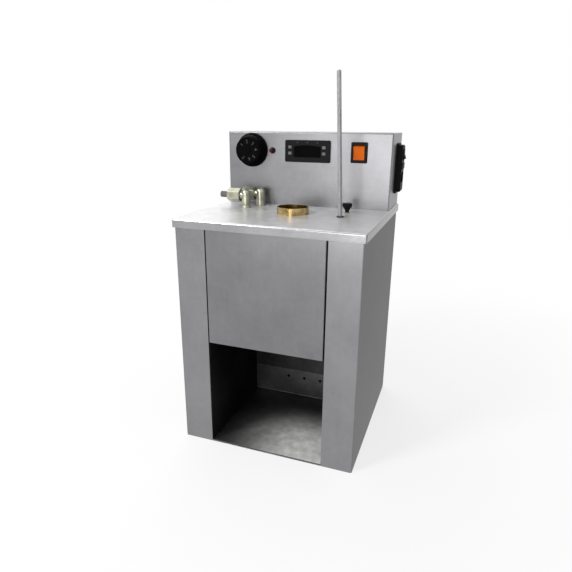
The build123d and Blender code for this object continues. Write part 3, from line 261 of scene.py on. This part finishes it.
finishes = {
    # the last number on cabinetSteel and plateSteel is painted shade on their sideways faces
    "cabinetSteel": brushedStainless("brushed304Cabinet", "#919193", "#838385", 2, 0.34, 0.55, None, 0.72),
    "panelSteel": brushedStainless("brushed304Front", "#868688", "#777779", 2, 0.36),
    # the plate's colour is painted lighter than the other sheets: a lit copy of the same steel, painted
    # light on the top
    "plateSteel": brushedStainless("brushed304Plate", "#b2b2b4", "#9e9ea0", 0, 0.2, 1.0, platePaintedLight, 0.2),
    "boxSteel": brushedStainless("brushed304Box", "#878789", "#78787a", 0, 0.36),
    # the chamber walls and tray are painted darker than the outer steel: painted shade inside the chamber
    "chamberSteel": brushedStainless("paintedShadeChamberSteel", "#4a4a4a", "#262626", 2, 0.5, 0.5),
    "traySteel": brushedStainless("brushed304Tray", "#686868", "#444444", 1, 0.45, 0.6, trayPaintedLightPool),
    "tankSteel": brushedStainless("drawn304Tank", "#b6b6b6", "#8e8e8e", 2, 0.3),
    "brightSteel": machinedMetal("bright303Bar", "#cdcdcd", "#a7a7a7", 0.2, 0.3),
    "brass": machinedMetal("turnedBrass", "#c2ab79", "#856f40", 0.22, 0.35),
    "nickel": machinedMetal("nickelPlatedBrass", "#bdbdac", "#90907f", 0.33, 0.4),
    "mercury": machinedMetal("mercuryThread", "#c4c8cc", "#9da1a5", 0.08),
    "blackAbs": mouldedPlastic("blackAbs", "#0b0b0c", "#070707", 0.45, shader={"Specular IOR Level": 0.1}),
    "inletAbs": mouldedPlastic("blackNylonInlet", "#090909", "#050505", 0.5,
                               shader={"Specular IOR Level": 0.06}),
    "phenolic": mouldedPlastic("wornPhenolic", "#070708", "#040404", 0.7, 1.2, 0.04,
                               {"Specular IOR Level": 0.03}),
    "greyButton": mouldedPlastic("greySiliconeKey", "#5a5a59", "#4a4a49", 0.5),
    "greyNylon": mouldedPlastic("naturalNylon", "#c9c7bf", "#aeaba3", 0.5),
    "greyTail": mouldedPlastic("greyPolypropylene", "#62645f", "#4d4f4a", 0.5,
                               shader={"Specular IOR Level": 0.25}),
    "nitrile": mouldedPlastic("nitrileRubber", "#1c1c1c", "#101010", 0.72, 0.5, 0.2, {"IOR": 1.52}),
    "smokedWindow": mouldedPlastic("smokedPolycarbonate", "#030303", "#010101", 0.1, 2.0, 0.01,
                                   {"Specular IOR Level": 0.04}),
    "redLens": mouldedPlastic("redAcrylicLens", "#4c0c14", "#2c060b", 0.2, 1.5, 0.05,
                              {"IOR": 1.49, "Specular IOR Level": 0.2}),
    "litRocker": mouldedPlastic("litOrangePolycarbonate", "#c85c0c", "#b04c07", 0.3, 1.2, 0.04,
                                {"IOR": 1.58, "Emission Color": toLinear("#d06010"),
                                 "Emission Strength": 0.08, "Specular IOR Level": 0.1}),
    "fadedInk": mouldedPlastic("fadedPadPrint", "#565654", "#474745", 0.6, 0.6, 0.05,
                               {"Specular IOR Level": 0.1}),
    "dimInk": mouldedPlastic("dimPadPrint", "#4e4e4d", "#3d3d3c", 0.6, 0.6, 0.05,
                             {"Specular IOR Level": 0.1}),
    "blackInk": mouldedPlastic("blackEtchFill", "#1a1a1a", "#101010", 0.6, 0.6, 0.05),
    "agate": agateStone("polishedAgate"),
    "glass": enamelledGlass("enamelledThermometerGlass"),
}
print("materials made:", len(finishes))

# Which finish each node has, and how far its sharp edges are eased, in millimetres.
nodeLooks = {
    "cabinetSteel": (0.15, ["side_shell_left", "side_shell_right", "base_plate", "rear_cover"]),
    "panelSteel": (0.15, ["front_panel"]),
    "plateSteel": (0.15, ["top_plate"]),
    "boxSteel": (0.15, ["control_box", "control_box_back"]),
    "chamberSteel": (0.0, ["chamber_side_left", "chamber_side_right", "chamber_back"]),
    "traySteel": (0.15, ["chamber_floor"]),
    "tankSteel": (0.0, ["bath_tank"]),
    "brightSteel": (0.1, ["cover_screws", "bath_studs", "bath_nuts", "heater_element", "sensor_probe",
                          "cooling_loop", "stirrer_shaft", "regulator_shaft", "inlet_pins"]),
    "brass": (0.2, ["oil_cup", "level_pointer", "cup_gland_nut", "heater_glands", "heater_nuts",
                    "sensor_gland", "stirrer_bush", "stirrer_paddle", "stirrer_collar"]),
    "nickel": (0.3, ["hose_elbows", "elbow_back_nuts", "union_nuts"]),
    "blackAbs": (0.2, ["controller_case", "controller_brackets", "switch_body", "pilot_lamp_body",
                       "regulator_body", "stirrer_knob"]),
    "inletAbs": (0.2, ["inlet_body", "inlet_rocker", "fuse_drawer"]),
    "greyTail": (0.2, ["hose_tails"]),
    "phenolic": (0.3, ["dial_knob"]),
    "greyButton": (0.2, ["button_high_left", "button_high_right", "button_low_left", "button_low_right"]),
    "greyNylon": (0.2, ["terminal_block"]),
    "nitrile": (0.15, ["bath_gasket", "cup_washer", "thermometer_grommet"]),
    "smokedWindow": (0.1, ["controller_window"]),
    "redLens": (0.1, ["pilot_lamp_lens"]),
    "litRocker": (0.3, ["switch_rocker"]),
    "agate": (0.0, ["agate_jet"]),
    "glass": (0.0, ["thermometer_glass"]),
    "mercury": (0.0, ["thermometer_column"]),
}


# weld in millimetres, the rest in degrees: what counts as flat, as an edge to ease, as a sharp edge
dressLook = {"weld": 0.002, "flat": 0.5, "eased": 38, "sharp": 32}


def dressNode(name, finish, edge):
    node = nodes[name]
    node.data.materials.clear()
    node.data.materials.append(finishes[finish])
    if "custom_normal" in node.data.attributes:
        node.data.attributes.remove(node.data.attributes["custom_normal"])
    node.data.polygons.foreach_set("use_smooth", [True] * len(node.data.polygons))
    weld = node.modifiers.new("weld", "WELD")
    weld.merge_threshold = dressLook["weld"] * mm
    if edge:
        flat = node.modifiers.new("flatFaces", "DECIMATE")
        flat.decimate_type = "DISSOLVE"
        flat.angle_limit = math.radians(dressLook["flat"])
        ease = node.modifiers.new("easedEdges", "BEVEL")
        ease.width = edge * mm
        ease.segments = 2
        ease.limit_method = "ANGLE"
        ease.angle_limit = math.radians(dressLook["eased"])
        ease.miter_outer = "MITER_ARC"
    else:
        split = node.modifiers.new("sharpEdges", "EDGE_SPLIT")
        split.split_angle = math.radians(dressLook["sharp"])
    normals = node.modifiers.new("faceNormals", "WEIGHTED_NORMAL")
    normals.keep_sharp = True


for finish, (edge, names) in nodeLooks.items():
    for name in names:
        dressNode(name, finish, edge)
print("nodes dressed")


# Tools for the new pieces

def finishPiece(piece, name, finish, body):
    piece.name = name
    piece.data.name = name
    piece.data.materials.clear()
    piece.data.materials.append(finishes[finish])
    bpy.ops.object.select_all(action="DESELECT")
    piece.select_set(True)
    bpy.context.view_layer.objects.active = piece
    bpy.ops.object.transform_apply(location=True, rotation=True, scale=True)
    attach(piece, body)
    bpy.ops.object.select_all(action="DESELECT")
    return piece


def joinPieces(pieces):
    bpy.ops.object.select_all(action="DESELECT")
    for piece in pieces:
        piece.select_set(True)
    bpy.context.view_layer.objects.active = pieces[0]
    bpy.ops.object.join()
    return bpy.context.view_layer.objects.active


# Numerals on the dial

knobLow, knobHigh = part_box("dial_knob")
dialLook = {"x": (knobLow.x + knobHigh.x) / 2 / mm, "z": (knobLow.z + knobHigh.z) / 2 / mm,
            "faceY": knobLow.y / mm + 0.8,  # the face lies 0.8 mm below the rim
            "ring": 14.0, "height": 5.6, "typeOver": 1.35, "thick": 0.12,
            "angles": (141, 97, 52, 7, -43, -80, -125)}


def makeDialFigures(look):
    made = []
    for number, angle in enumerate(look["angles"], start=1):
        turn = math.radians(angle)
        bpy.ops.object.text_add(location=(
            (look["x"] + look["ring"] * math.cos(turn)) * mm, (look["faceY"] - look["thick"]) * mm,
            (look["z"] + look["ring"] * math.sin(turn)) * mm))
        figure = bpy.context.object
        figure.data.body = str(number)
        figure.data.align_x = "CENTER"
        figure.data.align_y = "CENTER"
        figure.data.size = look["height"] * look["typeOver"] * mm
        figure.data.extrude = look["thick"] * mm
        figure.data.resolution_u = 4
        figure.rotation_euler = (math.radians(90), math.radians(90 - angle), 0)
        bpy.ops.object.convert(target="MESH")
        made.append(bpy.context.object)
    return finishPiece(joinPieces(made), "dialFigures", "fadedInk", "dial")


makeDialFigures(dialLook)
print("dial figures made")


# Thermometer scale

grommetLow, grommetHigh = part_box("thermometer_grommet")
liftAxis = next(joint["axis"] for joint in frame["joints"] if joint["name"] == "thermometer_lift")
scaleLook = {"x": (grommetLow.x + grommetHigh.x) / 2 / mm, "y": (grommetLow.y + grommetHigh.y) / 2 / mm,
             "z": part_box("top_plate")[1].z / mm,
             "lean": math.degrees(math.atan2(-liftAxis[0], liftAxis[2])),
             "radius": 3.2, "low": 30.0, "pitch": 1.25, "ticks": 120, "short": 50, "fifth": 1.4, "long": 90,
             "facing": -71, "clear": 0.02, "line": 0.22, "ink": 0.03}


def makeScaleMark(look, height, sweep):
    # a thin band wrapped round part of the stem
    bpy.ops.mesh.primitive_cylinder_add(vertices=48, radius=(look["radius"] + look["clear"]) * mm,
                                        depth=look["line"] * mm, end_fill_type="NOTHING",
                                        location=(0, 0, height * mm))
    mark = bpy.context.object
    bpy.ops.object.mode_set(mode="EDIT")
    bpy.ops.mesh.select_all(action="DESELECT")
    mesh = bmesh.from_edit_mesh(mark.data)
    front = math.radians(look["facing"])
    for face in mesh.faces:
        centre = face.calc_center_median()
        turn = math.atan2(centre.y, centre.x) - front
        turn = (turn + math.pi) % (2 * math.pi) - math.pi
        face.select = not 0 <= math.degrees(turn) <= sweep
    bmesh.update_edit_mesh(mark.data)
    bpy.ops.mesh.delete(type="FACE")
    bpy.ops.object.mode_set(mode="OBJECT")
    thick = mark.modifiers.new("ink", "SOLIDIFY")
    thick.thickness = look["ink"] * mm
    thick.offset = 1
    bpy.ops.object.modifier_apply(modifier="ink")
    return mark


def makeThermometerScale(look):
    marks = []
    for i in range(look["ticks"] + 1):
        sweep = look["long"] if i % 10 == 0 else look["short"] * (look["fifth"] if i % 5 == 0 else 1)
        marks.append(makeScaleMark(look, look["low"] + i * look["pitch"], sweep))
    scale = joinPieces(marks)
    scale.rotation_euler = (0, math.radians(-look["lean"]), 0)
    scale.location = (look["x"] * mm, look["y"] * mm, look["z"] * mm)
    return finishPiece(scale, "thermometerScale", "blackInk", "thermometer")


makeThermometerScale(scaleLook)
print("thermometer scale made")


# Marks on the controller's face: three plain pips over the window
caseLow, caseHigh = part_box("controller_case")
pipLook = {"places": (-17.0, 0.0, 17.0), "under": 3.6, "radius": 1.0, "thick": 0.25, "edge": 0.25,
           "rise": 0.08}


def makeControllerPips(look):
    pips = []
    for across in look["places"]:
        centre = ((caseLow.x + caseHigh.x) / 2 + across * mm, caseLow.y, caseHigh.z - look["under"] * mm)
        bpy.ops.mesh.primitive_cylinder_add(
            vertices=24, radius=look["radius"] * mm, depth=2 * look["thick"] * mm, location=centre,
            rotation=(math.radians(90), 0, 0))
        pip = bpy.context.object
        bpy.ops.object.mode_set(mode="EDIT")
        bpy.ops.mesh.select_all(action="DESELECT")
        mesh = bmesh.from_edit_mesh(pip.data)
        for face in mesh.faces:
            face.select = face.normal.z > 0.9
        bmesh.update_edit_mesh(pip.data)
        bpy.ops.mesh.inset(thickness=look["edge"] * mm)
        bpy.ops.transform.translate(value=(0, -look["rise"] * mm, 0))
        bpy.ops.object.mode_set(mode="OBJECT")
        pips.append(pip)
    return finishPiece(joinPieces(pips), "controllerPips", "dimInk", "cabinet")


makeControllerPips(pipLook)
print("controller pips made")


# Floor, backdrop and light

def floorMaterial():
    # pale painted floor: it shows about white to the camera and keeps the shadow
    material = bpy.data.materials.new("palePaintedFloor")
    material.use_nodes = True
    tree = material.node_tree
    tree.nodes.clear()
    place = addNode(tree, "ShaderNodeTexCoord").outputs["Object"]
    noise = addNode(tree, "ShaderNodeTexNoise", {"Scale": 3.0, "Detail": 3.0}, {"Vector": place})
    colour = colourRamp(tree, noise.outputs[0], [(0.3, grey(0.86)), (0.7, grey(0.9))])
    paint = addNode(tree, "ShaderNodeBsdfDiffuse", links={"Color": colour})
    glow = addNode(tree, "ShaderNodeEmission", {"Color": grey(1.0), "Strength": 1.0})
    path = addNode(tree, "ShaderNodeLightPath")
    mirrored = addNode(tree, "ShaderNodeMath", {"operation": "MAXIMUM"},
                       {0: path.outputs["Is Glossy Ray"], 1: path.outputs["Is Transmission Ray"]})
    # close to the object the paint takes its shadow; further out it fades into the white backdrop
    distance = addNode(tree, "ShaderNodeVectorMath", {"operation": "LENGTH"}, {0: place})
    fade = addNode(tree, "ShaderNodeMapRange",
                   {"From Min": 0.3, "From Max": 1.0, "To Min": 0.75, "To Max": 1.0},
                   {"Value": distance.outputs["Value"]})
    seen = addNode(tree, "ShaderNodeMath", {"operation": "MULTIPLY"},
                   {0: path.outputs["Is Camera Ray"], 1: fade.outputs["Result"]})
    share = addNode(tree, "ShaderNodeMath", {"operation": "MAXIMUM"},
                    {0: seen.outputs[0], 1: mirrored.outputs[0]})
    mix = addNode(tree, "ShaderNodeMixShader",
                  links={0: share.outputs[0], 1: paint.outputs[0], 2: glow.outputs[0]})
    addNode(tree, "ShaderNodeOutputMaterial", links={"Surface": mix.outputs[0]})
    return material


bpy.ops.mesh.primitive_plane_add(size=30, location=(0, 0, 0))
floor = bpy.context.object
floor.name = "floor"
floor.data.materials.append(floorMaterial())

world = bpy.data.worlds.new("paleRoom")
bpy.context.scene.world = world
world.use_nodes = True
roomTree = world.node_tree
roomTree.nodes.clear()
roomPath = addNode(roomTree, "ShaderNodeLightPath")
cameraOrGlossy = addNode(roomTree, "ShaderNodeMath", {"operation": "MAXIMUM"},
                         {0: roomPath.outputs["Is Camera Ray"], 1: roomPath.outputs["Is Glossy Ray"]})
orGlass = addNode(roomTree, "ShaderNodeMath", {"operation": "MAXIMUM"},
                  {0: cameraOrGlossy.outputs[0], 1: roomPath.outputs["Is Transmission Ray"]})
roomLight = addNode(roomTree, "ShaderNodeBackground", {"Color": grey(1.0), "Strength": 0.55})
whiteBack = addNode(roomTree, "ShaderNodeBackground", {"Color": grey(1.0), "Strength": 1.0})
roomMix = addNode(roomTree, "ShaderNodeMixShader",
                  links={0: orGlass.outputs[0], 1: roomLight.outputs[0], 2: whiteBack.outputs[0]})
addNode(roomTree, "ShaderNodeOutputWorld", links={"Surface": roomMix.outputs[0]})

lamps = {
    "backSoftbox": {"at": (-0.7, 1.1, 1.5), "to": (-0.05, -0.05, 0.36), "size": 1.2, "power": 11},
    "frontSoftbox": {"at": (-0.07, -2.0, 0.5), "to": (0.05, 0.0, 0.4), "size": 0.6, "power": 9},
    "keySoftbox": {"at": (-1.1, -1.5, 1.7), "to": (0.05, -0.05, 0.1), "size": 0.5, "power": 29},
    "lowSoftbox": {"at": (0.1, -1.7, 0.15), "to": (0.1, 0.0, 0.25), "size": 0.35, "power": 1.5},
}
for name, lamp in lamps.items():
    light = bpy.data.lights.new(name, "AREA")
    light.shape = "SQUARE"
    light.size = lamp["size"]
    light.energy = lamp["power"]
    holder = bpy.data.objects.new(name, light)
    holder.location = lamp["at"]
    aim = Vector(lamp["to"]) - Vector(lamp["at"])
    holder.rotation_euler = aim.to_track_quat("-Z", "Y").to_euler()
    bpy.context.scene.collection.objects.link(holder)

cameraLook = {"at": (0.25656, -0.76018, 0.49552), "yaw": 19.782, "pitch": 17.973, "roll": -0.537,
              "focal": 498.97, "picture": 572, "sensor": 36}
cameraData = bpy.data.cameras.new("photoCamera")
cameraData.sensor_width = cameraLook["sensor"]
cameraData.lens = cameraLook["focal"] / cameraLook["picture"] * cameraLook["sensor"]
cameraData.clip_start = 0.02
camera = bpy.data.objects.new("photoCamera", cameraData)
bpy.context.scene.collection.objects.link(camera)
camera.matrix_world = (
    Matrix.Translation(cameraLook["at"]) @ Matrix.Rotation(math.radians(cameraLook["yaw"]), 4, "Z")
    @ Matrix.Rotation(math.radians(90 - cameraLook["pitch"]), 4, "X")
    @ Matrix.Rotation(math.radians(-cameraLook["roll"]), 4, "Z"))
bpy.context.scene.camera = camera
bpy.context.scene.view_settings.view_transform = "Standard"
print("stage, lamps and camera set")
